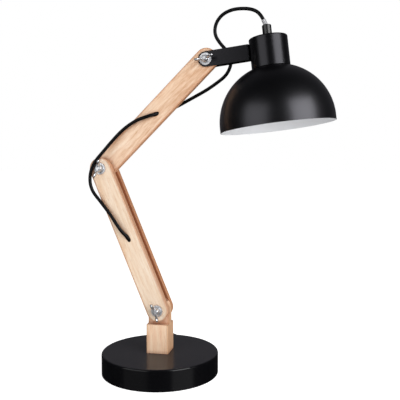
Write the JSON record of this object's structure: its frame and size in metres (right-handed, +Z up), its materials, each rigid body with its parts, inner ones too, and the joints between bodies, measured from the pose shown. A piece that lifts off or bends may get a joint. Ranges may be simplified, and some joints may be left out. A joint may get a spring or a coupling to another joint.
{
  "type": "swing arm desk lamp",
  "caption": "Table lamp with a round weighted black base, wooden swing arms clamped by wing nuts, and a tilting black dome shade with a screw lampholder",
  "frame": {"origin": "centre of the underside of the base pad, where the lamp stands on a table", "axes": "+Z up, +X the way the upper arm and head reach out, -Y the side of the wing nuts"},
  "size_m": [0.3288, 0.2702, 0.4918],
  "materials": {
    "black_gloss_steel": "gloss black enamel",
    "cast_iron": "rough cast",
    "zinc_steel": "bright zinc plate",
    "rubber_pad": "matt",
    "pine": "satin clear lacquer",
    "lead_sheath": "soft black sheath",
    "nickel_brass": "nickel plated",
    "bright_steel": "bright zinc plate",
    "black_satin_steel": "satin black paint",
    "black_plastic": "fine matt",
    "clear_sleeve": "translucent nylon"
  },
  "bodies": {
    "base": {"base_cover": "black_gloss_steel", "base_weight": "cast_iron", "weight_studs": "zinc_steel", "weight_screws": "zinc_steel", "base_pad": "rubber_pad", "strain_relief": "lead_sheath", "relief_nut": "zinc_steel", "post": "pine", "post_screws": "zinc_steel", "base_lead": "lead_sheath", "mains_lead_start": "lead_sheath", "lead_hank": "lead_sheath", "lead_tie": "lead_sheath", "mains_lead_end": "lead_sheath", "plug_body": "lead_sheath", "plug_blades": "nickel_brass"},
    "lower_arm": {"front_slat": "pine", "rear_slat": "pine", "shoulder_bolt": "bright_steel", "shoulder_washer": "bright_steel", "elbow_bolt": "bright_steel", "elbow_washer": "bright_steel", "slat_lead": "lead_sheath"},
    "upper_arm": {"upper_board": "pine", "elbow_lead": "lead_sheath"},
    "head": {"head_fork": "black_satin_steel", "head_bolt": "bright_steel", "head_washer": "bright_steel", "fork_screws": "zinc_steel", "fork_nuts": "zinc_steel", "cap": "black_satin_steel", "cap_nipple": "zinc_steel", "nipple_nut": "zinc_steel", "cord_grip": "black_plastic", "grip_sleeve": "clear_sleeve", "grip_lead": "lead_sheath", "shade": "black_satin_steel", "holder_body": "black_plastic", "holder_collar": "black_plastic", "thread_shell": "nickel_brass", "centre_contact": "nickel_brass", "shade_ring": "black_plastic", "head_lead": "lead_sheath"},
    "shoulder_nut": {"shoulder_wing_nut": "bright_steel"},
    "elbow_nut": {"elbow_wing_nut": "bright_steel"},
    "head_nut": {"head_wing_nut": "bright_steel"},
    "switch": {"switch_spindle": "zinc_steel", "switch_knob": "black_plastic"}
  },
  "joints": [
    {"name": "shoulder", "type": "hinge", "parent": "base", "child": "lower_arm", "pos_m": [0, 0, 0.0875], "axis": [0, 1, 0], "range_deg": [-65, 35], "deforming": ["slat_lead"]},
    {"name": "elbow", "type": "hinge", "parent": "lower_arm", "child": "upper_arm", "pos_m": [-0.07993, 0, 0.27953], "axis": [0, 1, 0], "range_deg": [-60, 40], "deforming": ["elbow_lead"]},
    {"name": "head_tilt", "type": "hinge", "parent": "upper_arm", "child": "head", "pos_m": [0.06507, 0, 0.42302], "axis": [0, 1, 0], "range_deg": [-70, 42], "deforming": ["head_lead"]},
    {"name": "shoulder_clamp", "type": "hinge", "parent": "lower_arm", "child": "shoulder_nut", "pos_m": [0, -0.0197, 0.0875], "axis": [0, 1, 0], "continuous": true},
    {"name": "elbow_clamp", "type": "hinge", "parent": "lower_arm", "child": "elbow_nut", "pos_m": [-0.07993, -0.0197, 0.27953], "axis": [0, 1, 0], "continuous": true},
    {"name": "head_clamp", "type": "hinge", "parent": "head", "child": "head_nut", "pos_m": [0.06507, -0.0116, 0.42302], "axis": [0, 1, 0], "continuous": true},
    {"name": "switch_turn", "type": "hinge", "parent": "head", "child": "switch", "pos_m": [0.14794, 0.0318, 0.42988], "axis": [0, 1, 0], "continuous": true}
  ]
}
